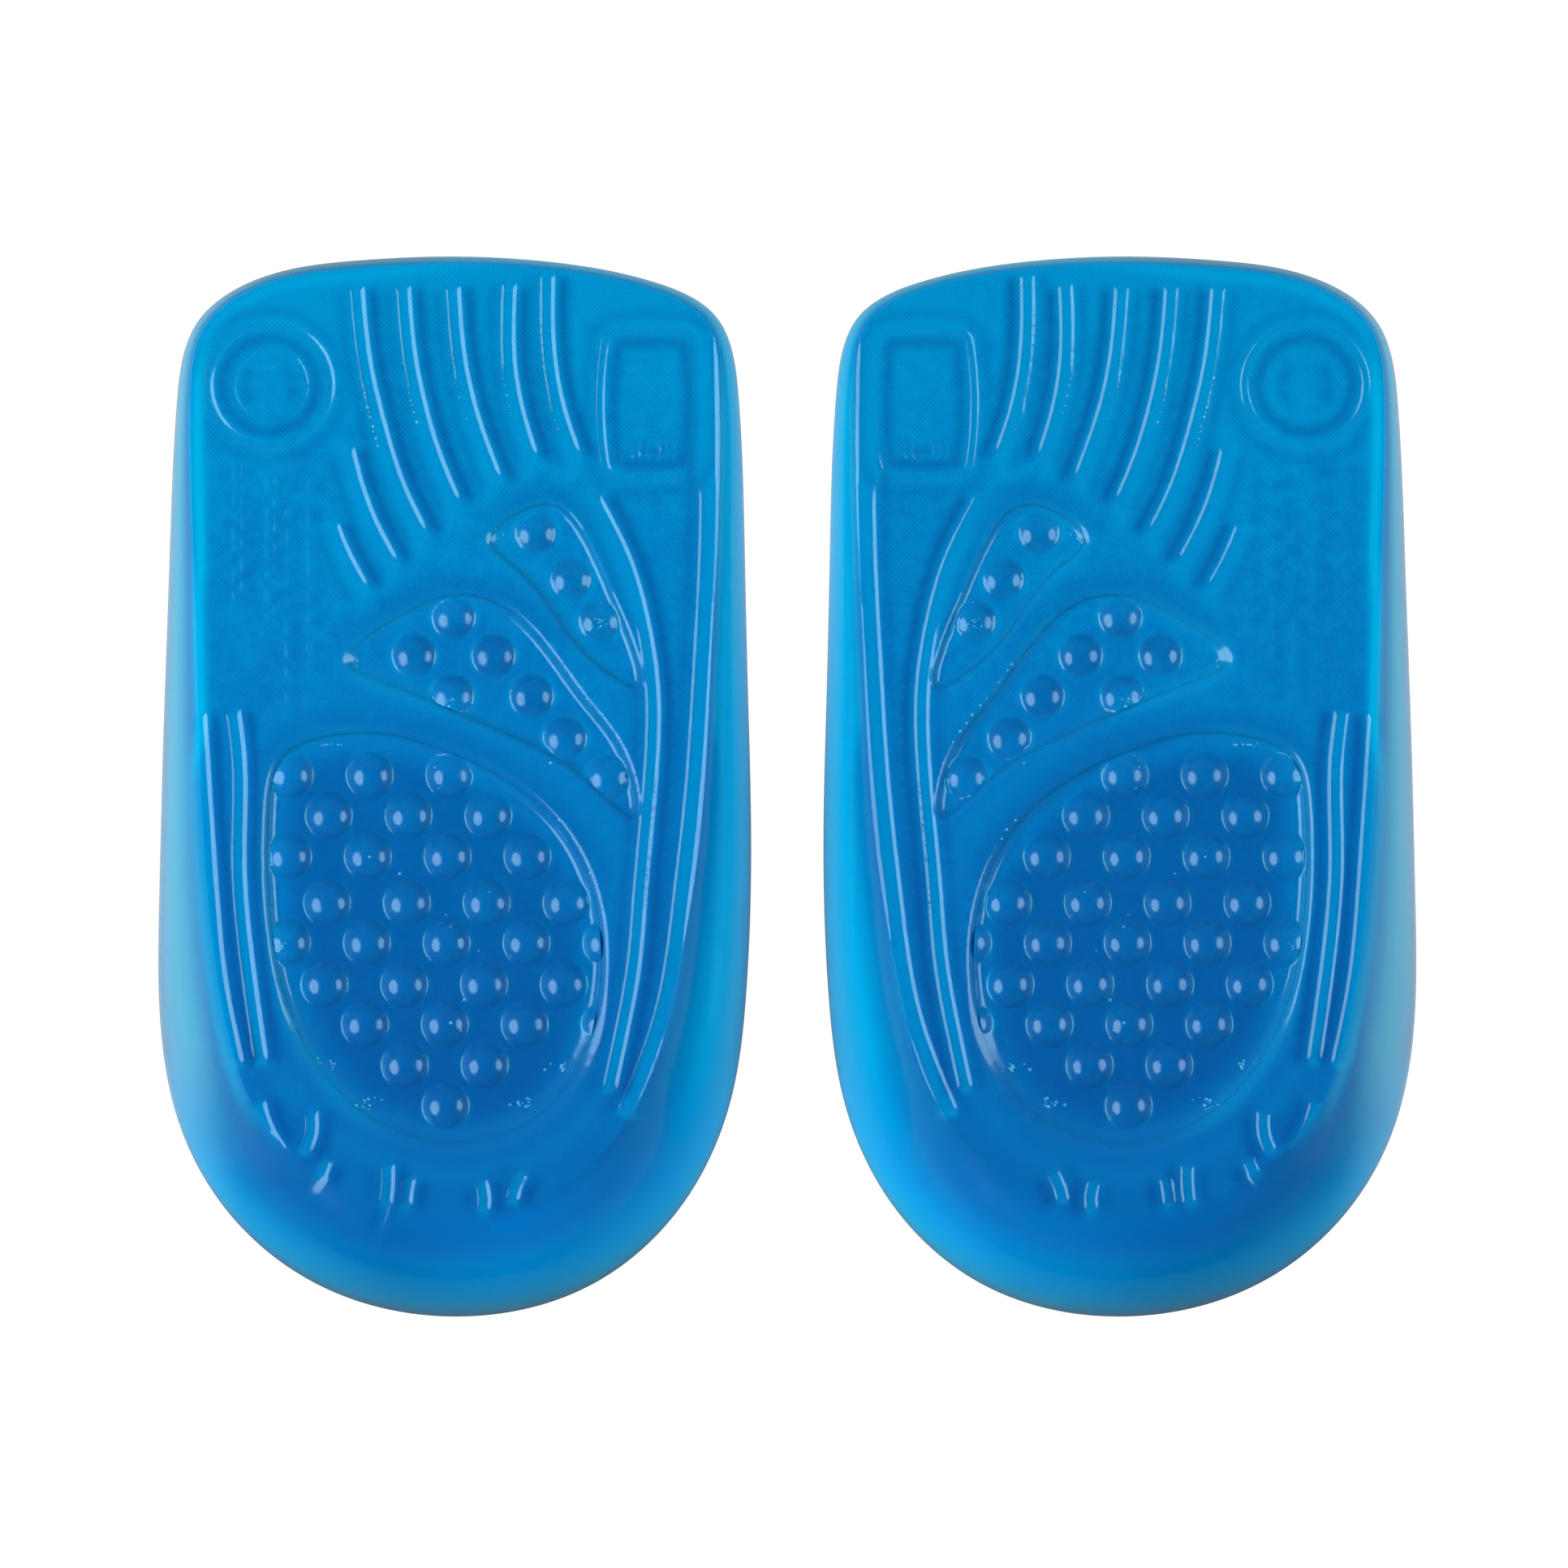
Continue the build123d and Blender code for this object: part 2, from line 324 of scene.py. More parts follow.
def arc(middle, radius, first, last, count):
    """Points of a circular arc between two angles in degrees."""
    turn = np.radians(np.linspace(first, last, count))
    return np.column_stack([
        middle[0] + radius * np.cos(turn), middle[1] + radius * np.sin(turn),
    ])


def dashes():
    """Short upright dashes with uneven gaps, down each column."""
    chance = np.random.default_rng(5)
    for x, y, last in DASH_COLUMNS:
        while y > last:
            length = chance.uniform(0.8, 2.4)
            yield Line(((x, y), (x, y - length / 2), (x, y - length)))
            y -= length + chance.uniform(0.5, 1.8)


PLAIN_MARKS = [
    Line(arc(RING_MIDDLE, RING_RADIUS, 0, 337.5, 16), closed=True),
    Line(rounded_frame(FRAME_MIDDLE, *FRAME_HALVES, FRAME_CORNER), closed=True),
]
FAINT_MARKS = [
    Line(arc(RING_MIDDLE, RING_ARC_RADIUS, middle - 26, middle + 26, 5))
    for middle in (25, 155, 205, 335)
]
FAINT_MARKS += [
    Line(arc((FRAME_MIDDLE[0] + side * shift, TICK_Y), TICK_RADIUS, middle - 28, middle + 28, 4))
    for side, middle in ((1, 0), (-1, 180)) for shift in (-1.8, -0.9, 0.0)
]
FAINT_MARKS += dashes()
GROOVES += [(line, MARK) for line in PLAIN_MARKS] + [(line, FAINT) for line in FAINT_MARKS]


rim = spline(RIM, count=AROUND, closed=True)
_, rim_normal = directions(rim[:, :2], True)
fullness = np.minimum(rim[:, 3], 1)


def wall_lean(share):
    """How far in the cup wall leans at a share of its height, as a share of the setback."""
    flat = 1 - fullness
    reach = np.hypot(fullness, flat)
    turn = np.arcsin(np.clip((share - flat) / reach, -1, 1))
    return 1 - np.cos(np.arctan2(flat, fullness) + turn)


def inset_from_rim(distance):
    """The rim's outline, moved in by a distance for each of its points."""
    return rim[:, :2] + rim_normal * distance[:, None]


sole_edge = inset_from_rim(rim[:, 2])
SOLE_EDGE = Line(sole_edge[::6], closed=True)


def ripple(points):
    """Very slight unevenness of the moulded face."""
    x, y = points[:, 0], points[:, 1]
    waves = np.sin(0.55 * x + 0.31 * y + 1.0) + np.sin(-0.23 * x + 0.47 * y)
    waves += np.sin(0.9 * x - 0.7 * y + 2.0) * 0.5
    return 0.012 * waves


def pad_drop(name, offset, points):
    """How far the surface has sunk, from the sole face to a pad, at an offset inside it."""
    most, gentle = SLOPE_WIDTH[name]
    towards = (points - PADS[name].samples.mean(0)) @ np.array(GENTLE_SIDE[name])
    width = most + (gentle - most) * smooth((towards - 4) / 12)
    return (POCKET_DEPTH[name] - PAD_THICKNESS) * smooth((offset + width / 2) / width)


def painted_slope_light(name, offset, points):
    """Mask of painted light on the slope round a pad, on the side towards the foot's outer side."""
    towards = PADS[name].samples[:, 0].mean() - points[:, 0]
    return 0.9 * smooth(towards / 12) * np.exp(-(((offset + 0.3) / 1.2) ** 2))


def sole_relief(points):
    """Depth pressed into the sole face, and the masks the gel's colour uses."""
    depth = np.zeros(len(points))
    light = np.zeros(len(points))
    dark = np.zeros(len(points))
    for line, style in GROOVES:
        offset, along = line.measure(points, GROOVE_REACH)
        half, wall = style["half"], style["wall"]
        inner_wall = np.full(len(points), wall)
        if style["open"]:
            start, end = style["open"]
            opening = smooth((along / line.length - start) / (end - start))
            inner_wall = np.where(offset < 0, wall + style["ramp"] * opening, wall)
        beyond = -np.ones(len(points)) if line.closed else np.maximum(-along, along - line.length)
        reach = np.maximum(np.abs(offset), beyond + half)
        cut = 1 - smooth((reach - (half - wall / 2)) / inner_wall)
        if not line.closed:
            cut *= 1 - smooth((along - line.length) / style["fade"] + 1)
        depth = np.maximum(depth, style["depth"] * cut)
        # The floor of a groove is lighter, where the gel is thinner, and the face beside its walls
        # carries painted shade, stronger on one side, for the darker surroundings seen through the
        # gel there.
        strength = style["depth"] / RIB["depth"]
        floor = 1 - smooth((reach - half + 0.3) / (inner_wall - wall + 0.6))
        light = np.maximum(light, floor * strength)
        painted_shade_band = np.exp(-(((np.abs(offset) - half - 1.25) / 0.75) ** 2))
        painted_shade_band *= 1 - smooth((beyond + 1.5) / 2.5)
        painted_shade_band *= np.where(offset > 0, 1.0, 0.45)
        dark = np.maximum(dark, painted_shade_band * strength)
    for name, outline in PADS.items():
        offset, _ = outline.measure(points, PAD_REACH)
        offset[offset == FAR] = -FAR
        slope = pad_drop(name, offset, points)
        under_pad = POCKET_DEPTH[name] * smooth((offset - 0.12) / 0.3)
        depth = np.maximum(depth, np.maximum(slope + 0.02 * (offset > 0.05), under_pad))
        # Painted shade along a pad's front edge, whose slope faces neither lamp, and a faint ring
        # of painted light round the pad, about 4 mm outside its edge.
        upper = smooth((points[:, 1] - outline.samples[:, 1].mean()) / 14)
        dark = np.maximum(dark, 0.5 * upper * np.exp(-(((offset + 1.2) / 1.8) ** 2)))
        light = np.maximum(light, 0.2 * np.exp(-(((offset + 4.2) / 1.4) ** 2)))
        light = np.maximum(light, painted_slope_light(name, offset, points))
    return depth, light, dark


def spread_points(groups, outline, clearance, margin):
    """Keeps points inside the outline and apart from earlier ones, in order."""
    kept, cells = [], {}
    for group in groups:
        offset, _ = outline.measure(group, EDGE_REACH)
        for x, y in group[offset > margin]:
            cell = int(x // clearance), int(y // clearance)
            around = [(cell[0] + i, cell[1] + j) for i in (-1, 0, 1) for j in (-1, 0, 1)]
            if all((x - a) ** 2 + (y - b) ** 2 > clearance ** 2
                   for key in around for a, b in cells.get(key, ())):
                cells.setdefault(cell, []).append((x, y))
                kept.append((x, y))
    return np.array(kept)


def hexagonal(low, high, pitch):
    rows = np.arange(low[1], high[1], pitch * 0.866)
    columns = np.arange(low[0], high[0], pitch)
    return np.vstack([
        np.column_stack([columns + (i % 2) * pitch / 2, np.full(len(columns), y)])
        for i, y in enumerate(rows)
    ])


def triangulate(ring, inner):
    """Triangles that fill a ring, through the inner points."""
    points = [Vector(p) for p in np.vstack([ring, inner])]
    made = delaunay_2d_cdt(points, [], [list(range(len(ring)))], 1, 1e-7)
    return np.array([tuple(v) for v in made[0]]), [tuple(face) for face in made[2]]


# The sole face's mesh: spacing of its even fill, and how close points may come to each
# other and to the sole edge.
SOLE_PITCH, SOLE_CLEARANCE, SOLE_MARGIN = 0.75, 0.17, 0.15


def sole_face():
    """The sole side inside its edge: feature-following points, then an even fill."""
    near_edge = SOLE_EDGE.rows((0.3, 0.7, 1.2, 1.8))
    groove_rows = [
        line.rows([sign * (style["half"] + step) for sign in (-1, 1)
                   for step in (0, -0.18, 0.18, -0.36, 0.36, -0.6, 0.7, 1.2)])
        for line, style in GROOVES
    ]
    steps = (0, 0.12, 0.27, 0.42, -0.2, -0.4, -0.65, -0.9, -1.2, -1.5, 0.8)
    pad_rows = [outline.rows(steps) for outline in PADS.values()]
    fill = hexagonal((-36, BACK_Y), (36, FRONT_Y), SOLE_PITCH)
    groups = groove_rows + pad_rows + [near_edge]
    inner = spread_points(groups, SOLE_EDGE, SOLE_CLEARANCE, SOLE_MARGIN)
    inner = spread_points([inner, fill], SOLE_EDGE, SOLE_CLEARANCE, SOLE_MARGIN)
    return triangulate(sole_edge, inner)


def ring_faces(start, rows, around=AROUND):
    """Quads between stacked rings of points, the first ring at index start."""
    faces = []
    for row in range(rows - 1):
        a = start + row * around
        for i in range(around):
            j = (i + 1) % around
            faces.append((a + i, a + j, a + around + j, a + around + i))
    return faces


# ---- Building meshes ----

class Shape:
    """Vertices, faces and per-vertex masks of one piece, in millimetres."""

    def __init__(self):
        self.points, self.faces, self.masks = [], [], []
        self.count = 0

    def add(self, points, faces, **masks):
        """Adds points with their masks; faces index into these points."""
        self.points.append(points)
        self.faces += [tuple(i + self.count for i in face) for face in faces]
        self.masks.append((len(points), masks))
        self.count += len(points)

    def mask(self, name):
        return np.concatenate([
            np.broadcast_to(masks.get(name, 0.0), n) for n, masks in self.masks
        ])

    def build(self, name, side, mask_names=(), weld=True, sharp=60):
        """The piece on the left or, mirrored, on the right. Edges over sharp degrees stay crisp."""
        points = np.vstack(self.points) + (LEFT_MIDDLE, 0, 0)
        points = points * (SIDES[side], 1, 1) * MM
        mesh = bpy.data.meshes.new(name)
        mesh.from_pydata(points.tolist(), [], self.faces)
        for mask_name in mask_names:
            attribute = mesh.attributes.new(mask_name, "FLOAT", "POINT")
            attribute.data.foreach_set("value", self.mask(mask_name).astype(np.float32))
        piece = bpy.data.objects.new(name, mesh)
        bpy.context.scene.collection.objects.link(piece)
        tidy_mesh(mesh, weld, sharp)
        return piece


def tidy_mesh(mesh, weld, sharp):
    """Joins the rings that meet, turns every face outwards and shades smoothly."""
    work = bmesh.new()
    work.from_mesh(mesh)
    if weld:
        bmesh.ops.remove_doubles(work, verts=work.verts, dist=2e-7)
    bmesh.ops.recalc_face_normals(work, faces=work.faces)
    work.to_mesh(mesh)
    work.free()
    mesh.shade_smooth()
    mesh.set_sharp_from_angle(angle=np.radians(sharp))


def inner_side(points):
    """0 on the outer side of the foot and 1 on the side towards the other insole."""
    return smooth((points[:, 0] + 12) / 24)


def painted_edge_line(outside, points):
    """Mask of a painted line of light along the sole edge, where the crease catches the lamps,
    plainest on the outer side.
    """
    y = points[:, 1]
    inner = inner_side(points)
    middle = -0.35 + 1.2 * smooth((10 - y) / 12) - 0.5 * smooth((y - 18) / 14) + 1.7 * inner
    strength = smooth((y + 44) / 10) * (1 - 0.6 * smooth((y - 44) / 12))
    strength *= 1 - 0.6 * smooth((10 - y) / 14)
    strength *= 1 - inner * (0.75 - 0.35 * smooth((y + 2) / 12))
    return np.exp(-(((outside - middle) / 0.8) ** 2)) * strength


ROW_CROWDING = 1.15      # over 1 crowds the wall's rings towards the sole edge
EDGE_DROP_FADE = 12      # how soon a groove that reaches the sole edge runs out down the wall


def outer_wall():
    """Rings down the cup wall from the sole edge to the rim, and how far down each is."""
    edge_drop, _, _ = sole_relief(sole_edge)
    steps = 1 - np.linspace(0, 1, WALL_ROWS) ** ROW_CROWDING
    rings, shares, edges = [], [], []
    for step in steps:
        angle = np.pi / 2 * step
        lean = 1 - np.cos(angle)
        share = fullness * np.sin(angle) + (1 - fullness) * lean
        plan = inset_from_rim(rim[:, 2] * lean)
        height = RIM_ROUND + share * (sole_height(plan[:, 1]) - RIM_ROUND)
        height -= edge_drop * share ** EDGE_DROP_FADE
        rings.append(np.column_stack([plan, height]))
        shares.append(np.full(AROUND, 1 - step))
        edges.append(painted_edge_line(rim[:, 2] * (1 - lean), plan))
    return np.vstack(rings), np.concatenate(shares), np.concatenate(edges)


def rim_rows():
    """Rings under the rim, rounded at both sides."""
    rings = []
    for angle in np.radians((30, 60, 90)):
        inset = RIM_ROUND * (1 - np.cos(angle))
        rings.append((inset, RIM_ROUND * (1 - np.sin(angle))))
    for angle in np.radians((90, 60, 30)):
        inset = RIM_WIDTH - RIM_ROUND * (1 - np.cos(angle))
        rings.append((inset, RIM_ROUND * (1 - np.sin(angle))))
    return np.vstack([
        np.column_stack([
            inset_from_rim(np.full(AROUND, inset)), np.full(AROUND, height)
        ])
        for inset, height in rings
    ])


def foot_wall(clearance, lowest):
    """Rings up the foot side, from just inside the rim to the foot bed."""
    lean_top = np.arcsin(FOOT_WALL_FULLNESS)
    heel_share = footbed_height(BACK_Y) / sole_height(BACK_Y)
    rings = []
    for level in np.sin(np.linspace(0, np.pi / 2, FOOT_WALL_ROWS)):
        lean = (1 - np.sqrt(1 - (FOOT_WALL_FULLNESS * level) ** 2)) / (1 - np.cos(lean_top))
        inset = RIM_WIDTH + clearance + FOOTBED_ROUND * lean
        inset = inset + rim[:, 2] * wall_lean(level * heel_share)
        plan = inset_from_rim(inset)
        height = level * (footbed_height(plan[:, 1]) - clearance)
        rings.append(np.column_stack([plan, np.maximum(height, lowest + 0.01 * level)]))
    return np.vstack(rings)


def cap(ring, pitch, height):
    """An evenly filled face across a ring of points."""
    outline = Line(ring[::12, :2], closed=True, spacing=1.5)
    fill = hexagonal(ring[:, :2].min(0), ring[:, :2].max(0), pitch)
    inner = spread_points([fill], outline, pitch * 0.5, pitch * 0.4)
    plan, faces = triangulate(ring[:, :2], inner)
    return np.column_stack([plan, height(plan[:, 1])]), faces


def thickness_mask(points):
    """0 where the gel is thinnest, at the front, and 1 at the heel."""
    return np.clip((FRONT_Y - points[:, 1]) / LENGTH, 0, 1)


def gel_body_shape():
    shape = Shape()
    plan, faces = sole_face()
    depth, light, dark = sole_relief(plan)
    inside, _ = SOLE_EDGE.measure(plan, EDGE_REACH)
    height = sole_height(plan[:, 1]) - depth + ripple(plan) * smooth(inside / 1.5)
    sole = np.column_stack([plan, height])
    shape.add(
        sole, faces, thickness=thickness_mask(sole), light=light, dark=dark,
        edge=painted_edge_line(-inside, plan),
    )
    wall, share, edge = outer_wall()
    inner = np.vstack([rim_rows(), foot_wall(0, RIM_ROUND)])
    strip = np.vstack([wall, inner])
    _, light, dark = sole_relief(sole_edge)
    repeat = len(strip) // AROUND
    share = np.concatenate([share, np.ones(len(inner))])
    fade = np.clip(1 - 6 * share, 0, 1)
    shape.add(
        strip, ring_faces(0, repeat), thickness=thickness_mask(strip), wall=share,
        inner=inner_side(strip),
        edge=np.concatenate([edge, np.zeros(len(inner))]),
        light=np.tile(light, repeat) * fade, dark=np.tile(dark, repeat) * fade,
    )
    shape.add(*cap(strip[-AROUND:], 3.0, footbed_height), thickness=1.0, wall=1.0)
    return shape


def nub_centres(name):
    return np.array([
        (first_x + column * NUB_PITCH, y)
        for y, first_x, count in NUB_ROWS[name] for column in range(count)
    ])


def nub_field(points, centres, lean):
    """Height of the nubs over the web, the distance to the nearest nub's middle, and how
    far the point is to its left or right, as a share of that distance."""
    steps = points[:, None] - centres[None]
    gaps = np.sqrt((steps ** 2).sum(2))
    nearest = gaps.argmin(1)
    rows = np.arange(len(points))
    distance = gaps[rows, nearest]
    flank = np.abs(steps[rows, nearest, 0]) / np.maximum(distance, 0.01)
    dome_edge = NUB_SPHERE * np.sin(lean)
    foot = dome_edge + NUB_FILLET * np.sin(lean)
    top = (NUB_SPHERE + NUB_FILLET) * (1 - np.cos(lean))
    dome = top - NUB_SPHERE + np.sqrt(np.maximum(NUB_SPHERE ** 2 - distance ** 2, 0))
    run = np.clip(foot - distance, 0, NUB_FILLET)
    fillet = NUB_FILLET - np.sqrt(NUB_FILLET ** 2 - run ** 2)
    return np.where(distance < dome_edge, dome, fillet), distance, flank


def pad_surface(name, points):
    """Top of a soft pad, and each point's place on its nearest nub."""
    offset, _ = PADS[name].measure(points, PAD_REACH)
    rise, distance, flank = nub_field(points, nub_centres(name), NUB_LEAN[name])
    rise = np.maximum(rise - POCKET_DEPTH[name] + PAD_THICKNESS, -pad_drop(name, offset, points))
    return sole_height(points[:, 1]) + rise, distance, flank


# Radii of the mesh's circles on a nub and the spacing of points on them.
NUB_CIRCLES = (0.01, 0.55, 1.1, 1.6, 2.0, 2.35, 2.6, 2.78, 2.95, 3.1, 3.25, 3.5)
NUB_SPACING = 0.36
# A pad's mesh: spacing of its even fill, and how close points may come to each other and
# to the pad's outline.
PAD_PITCH, PAD_CLEARANCE, PAD_MARGIN = 0.6, 0.13, 0.12


def pad_shape(name):
    """A soft pad: its top with the nubs, its sides and its flat underside."""
    outline = PADS[name]
    ring = outline.samples
    turns = []
    for radius in NUB_CIRCLES:
        count = max(1, round(2 * np.pi * radius / NUB_SPACING))
        angle = np.linspace(0, 2 * np.pi, count, endpoint=False)
        turns.append(np.column_stack([radius * np.cos(angle), radius * np.sin(angle)]))
    circles = np.vstack([np.vstack(turns) + centre for centre in nub_centres(name)])
    edges = outline.rows((0.25, 0.5, 0.75, 1.0, 1.25, 1.5))
    fill = hexagonal(ring.min(0), ring.max(0), PAD_PITCH)
    inner = spread_points([circles, edges, fill], outline, PAD_CLEARANCE, PAD_MARGIN)
    plan, faces = triangulate(ring, inner)
    height, distance, flank = pad_surface(name, plan)
    offset, _ = outline.measure(plan, PAD_REACH)
    # Painted highlights: arcs to the left and right of each dome, where the nubs' flanks catch the
    # lamps.
    dome = 1 - smooth((distance - 2.0) / 0.9)
    painted_arc_highlights = 1.4 * flank ** 3 * np.exp(-(((distance - 2.84) / 0.3) ** 2))
    web_shade, dome_shade = PAD_SHADES[name]
    shape = Shape()
    shape.add(
        np.column_stack([plan, height]), faces, thickness=thickness_mask(plan),
        light=np.maximum(painted_arc_highlights, painted_slope_light(name, offset, plan)),
        dark=(web_shade + (dome_shade - web_shade) * dome) * smooth(offset / 5),
    )
    ring_top, _, _ = pad_surface(name, ring)
    base = sole_height(ring[:, 1]) - POCKET_DEPTH[name] + 0.01
    sides = np.vstack([np.column_stack([ring, ring_top]), np.column_stack([ring, base])])
    shape.add(sides, ring_faces(0, 2, len(ring)), thickness=thickness_mask(sides))
    bottom = np.column_stack([ring, base])
    shape.add(bottom, [tuple(range(len(ring)))], thickness=thickness_mask(bottom))
    return shape


def cover_shape():
    """The fabric lining of the foot side, with a rounded cut edge."""
    shape = Shape()
    glued = foot_wall(GLUE_GAP, COVER_EDGE_LIFT).reshape(-1, AROUND, 3)
    bare = foot_wall(COVER_THICKNESS, COVER_EDGE_LIFT).reshape(-1, AROUND, 3)
    edge = (glued[0] + bare[0]) / 2 - (0, 0, 0.12)
    lining = np.vstack([*glued[::-1], edge, *bare])
    shape.add(lining, ring_faces(0, len(lining) // AROUND))
    shape.add(*cap(glued[-1], 2.0, lambda y: footbed_height(y) - GLUE_GAP))
    shape.add(*cap(bare[-1], 2.0, lambda y: footbed_height(y) - COVER_THICKNESS))
    return shape


# ---- Air bubbles caught under the skin ----

def visible_height(points):
    """The sole side's surface: the gel body, or the soft pads where they are higher."""
    depth, _, _ = sole_relief(points)
    height = sole_height(points[:, 1]) - depth
    for name, outline in PADS.items():
        offset, _ = outline.measure(points, PAD_REACH)
        top, _, _ = pad_surface(name, points)
        on_pad = (offset > 0) & (offset < FAR)
        height = np.where(on_pad, np.maximum(height, top), height)
    return height


# Bubbles in a row beside a grip line or pad: its line, offset, first and last share of
# the length, and how many.
BUBBLE_ROWS = (
    (GROOVES[0][0], -0.8, 0.32, 0.60, 12), (GROOVES[1][0], -0.8, 0.30, 0.58, 10),
    (GROOVES[2][0], -0.8, 0.32, 0.64, 9), (GROOVES[3][0], -0.8, 0.36, 0.70, 8),
    (GROOVES[4][0], -0.8, 0.22, 0.80, 13), (GROOVES[7][0], 0.75, 0.48, 0.70, 22),
    (PADS["midfoot"], -0.6, 0.62, 0.82, 15), (PADS["heel"], -0.7, 0.70, 0.79, 11),
)
# Loose bubbles: middle, spread and how many.
BUBBLE_CLUSTERS = (
    ((-15.0, -33.4), (1.6, 0.8), 10), ((-10.2, -38.0), (1.9, 0.7), 10),
    ((8.2, -38.2), (1.9, 0.7), 11), ((12.8, -33.8), (1.9, 0.7), 11),
    ((-15.0, 5.0), (1.9, 0.3), 8), ((17.6, 20.0), (0.9, 1.2), 9), ((4.9, 29.8), (0.8, 0.9), 7),
    ((-11.8, 14.6), (0.5, 1.0), 6), ((-0.8, 10.4), (1.2, 0.6), 8), ((-20.6, -19.6), (0.5, 0.8), 5),
    ((-16.4, -50.6), (0.6, 0.4), 6), ((-24.0, -47.0), (4.0, 3.0), 10),
    ((0.0, -10.0), (16.0, 26.0), 14),
)
# How far they stay from the sole edge, their smallest and largest radius, and their height
# as a share of their width.
BUBBLE_MARGIN = 0.8
BUBBLE_RADII = (0.10, 0.24)
BUBBLE_FLATNESS = 0.6


def bubble_places(chance):
    places = []
    for line, offset, first, last, count in BUBBLE_ROWS:
        share = np.linspace(first, last, count) + chance.uniform(-0.004, 0.004, count)
        index = (share * (len(line.samples) - 1)).astype(int)
        sway = offset + chance.uniform(-0.08, 0.08, count)
        places.append(line.samples[index] + line.normal[index] * sway[:, None])
    for middle, spread, count in BUBBLE_CLUSTERS:
        places.append(chance.normal(middle, np.array(spread) / 2, (count, 2)))
    places = np.vstack(places)
    offset, _ = SOLE_EDGE.measure(places, EDGE_REACH)
    return places[offset > BUBBLE_MARGIN]


def bubble_shape():
    """Small blisters that stand just proud of the gel."""
    chance = np.random.default_rng(11)
    ball = bmesh.new()
    bmesh.ops.create_icosphere(ball, subdivisions=2, radius=1)
    unit = np.array([v.co for v in ball.verts])
    faces = [tuple(v.index for v in face.verts) for face in ball.faces]
    ball.free()
    places = bubble_places(chance)
    height = visible_height(places)
    shape = Shape()
    for (x, y), z in zip(places, height):
        radius = chance.uniform(*BUBBLE_RADII)
        size = radius, radius, radius * BUBBLE_FLATNESS
        shape.add(unit * size + (x, y, z - 0.2 * radius), faces)
    return shape


# ---- Shader nodes ----

def new_material(name):
    material = bpy.data.materials.new(name)
    material.use_nodes = True
    tree = material.node_tree
    return material, tree, tree.nodes["Principled BSDF"]


def add(tree, kind, inputs=(), **settings):
    """A new node. inputs gives sockets a value, or another socket to follow."""
    node = tree.nodes.new(kind)
    for name, value in settings.items():
        setattr(node, name, value)
    for key, value in dict(inputs).items():
        if isinstance(value, bpy.types.NodeSocket):
            tree.links.new(value, node.inputs[key])
        else:
            node.inputs[key].default_value = value
    return node


def math(tree, operation, *values):
    node = add(tree, "ShaderNodeMath", enumerate(values), operation=operation)
    return node.outputs[0]


def mix(tree, factor, first, second, blend="MIX"):
    inputs = {0: factor, 6: first, 7: second}
    node = add(tree, "ShaderNodeMix", inputs, data_type="RGBA", blend_type=blend)
    return node.outputs[2]


def ramp(tree, factor, stops):
    """Colour ramp through (position, colour) stops."""
    node = add(tree, "ShaderNodeValToRGB", {0: factor})
    elements = node.color_ramp.elements
    while len(elements) < len(stops):
        elements.new(0.5)
    for element, (position, colour) in zip(elements, stops):
        element.position = position
        element.color = colour
    return node.outputs[0]


def attribute(tree, name):
    return add(tree, "ShaderNodeAttribute", attribute_name=name).outputs["Fac"]


def noise(tree, place, scale, detail=2.0):
    """Noise of about the given number of blobs per metre."""
    node = add(tree, "ShaderNodeTexNoise", {"Vector": place, "Scale": scale, "Detail": detail})
    return node.outputs[0]


def coordinates(tree, kind="Object"):
    return add(tree, "ShaderNodeTexCoord").outputs[kind]


def axes(tree, vector):
    """The x, y and z of a vector."""
    return add(tree, "ShaderNodeSeparateXYZ", {0: vector}).outputs


def clamped(tree, value):
    """The value, kept between 0 and 1."""
    return add(tree, "ShaderNodeClamp", {0: value}).outputs[0]


def rgb(red, green, blue):
    return (red, green, blue, 1.0)


def grey(level):
    return rgb(level, level, level)


# ---- Materials ----

# Metres from hole to hole of the knit, as it shows through the gel and on the cover.
GEL_KNIT_PITCH, COVER_KNIT_PITCH = 0.00066, 0.00062


def knit(tree, place, pitch):
    """0 to 1 pattern of a fine diagonal mesh, pitch metres from hole to hole."""
    across, along, _ = axes(tree, place)
    turns = 2 * np.pi / pitch
    waves = [math(tree, "SINE", math(tree, "MULTIPLY", axis, turns)) for axis in (across, along)]
    return math(tree, "MULTIPLY_ADD", math(tree, "MULTIPLY", *waves), 0.5, 0.5)


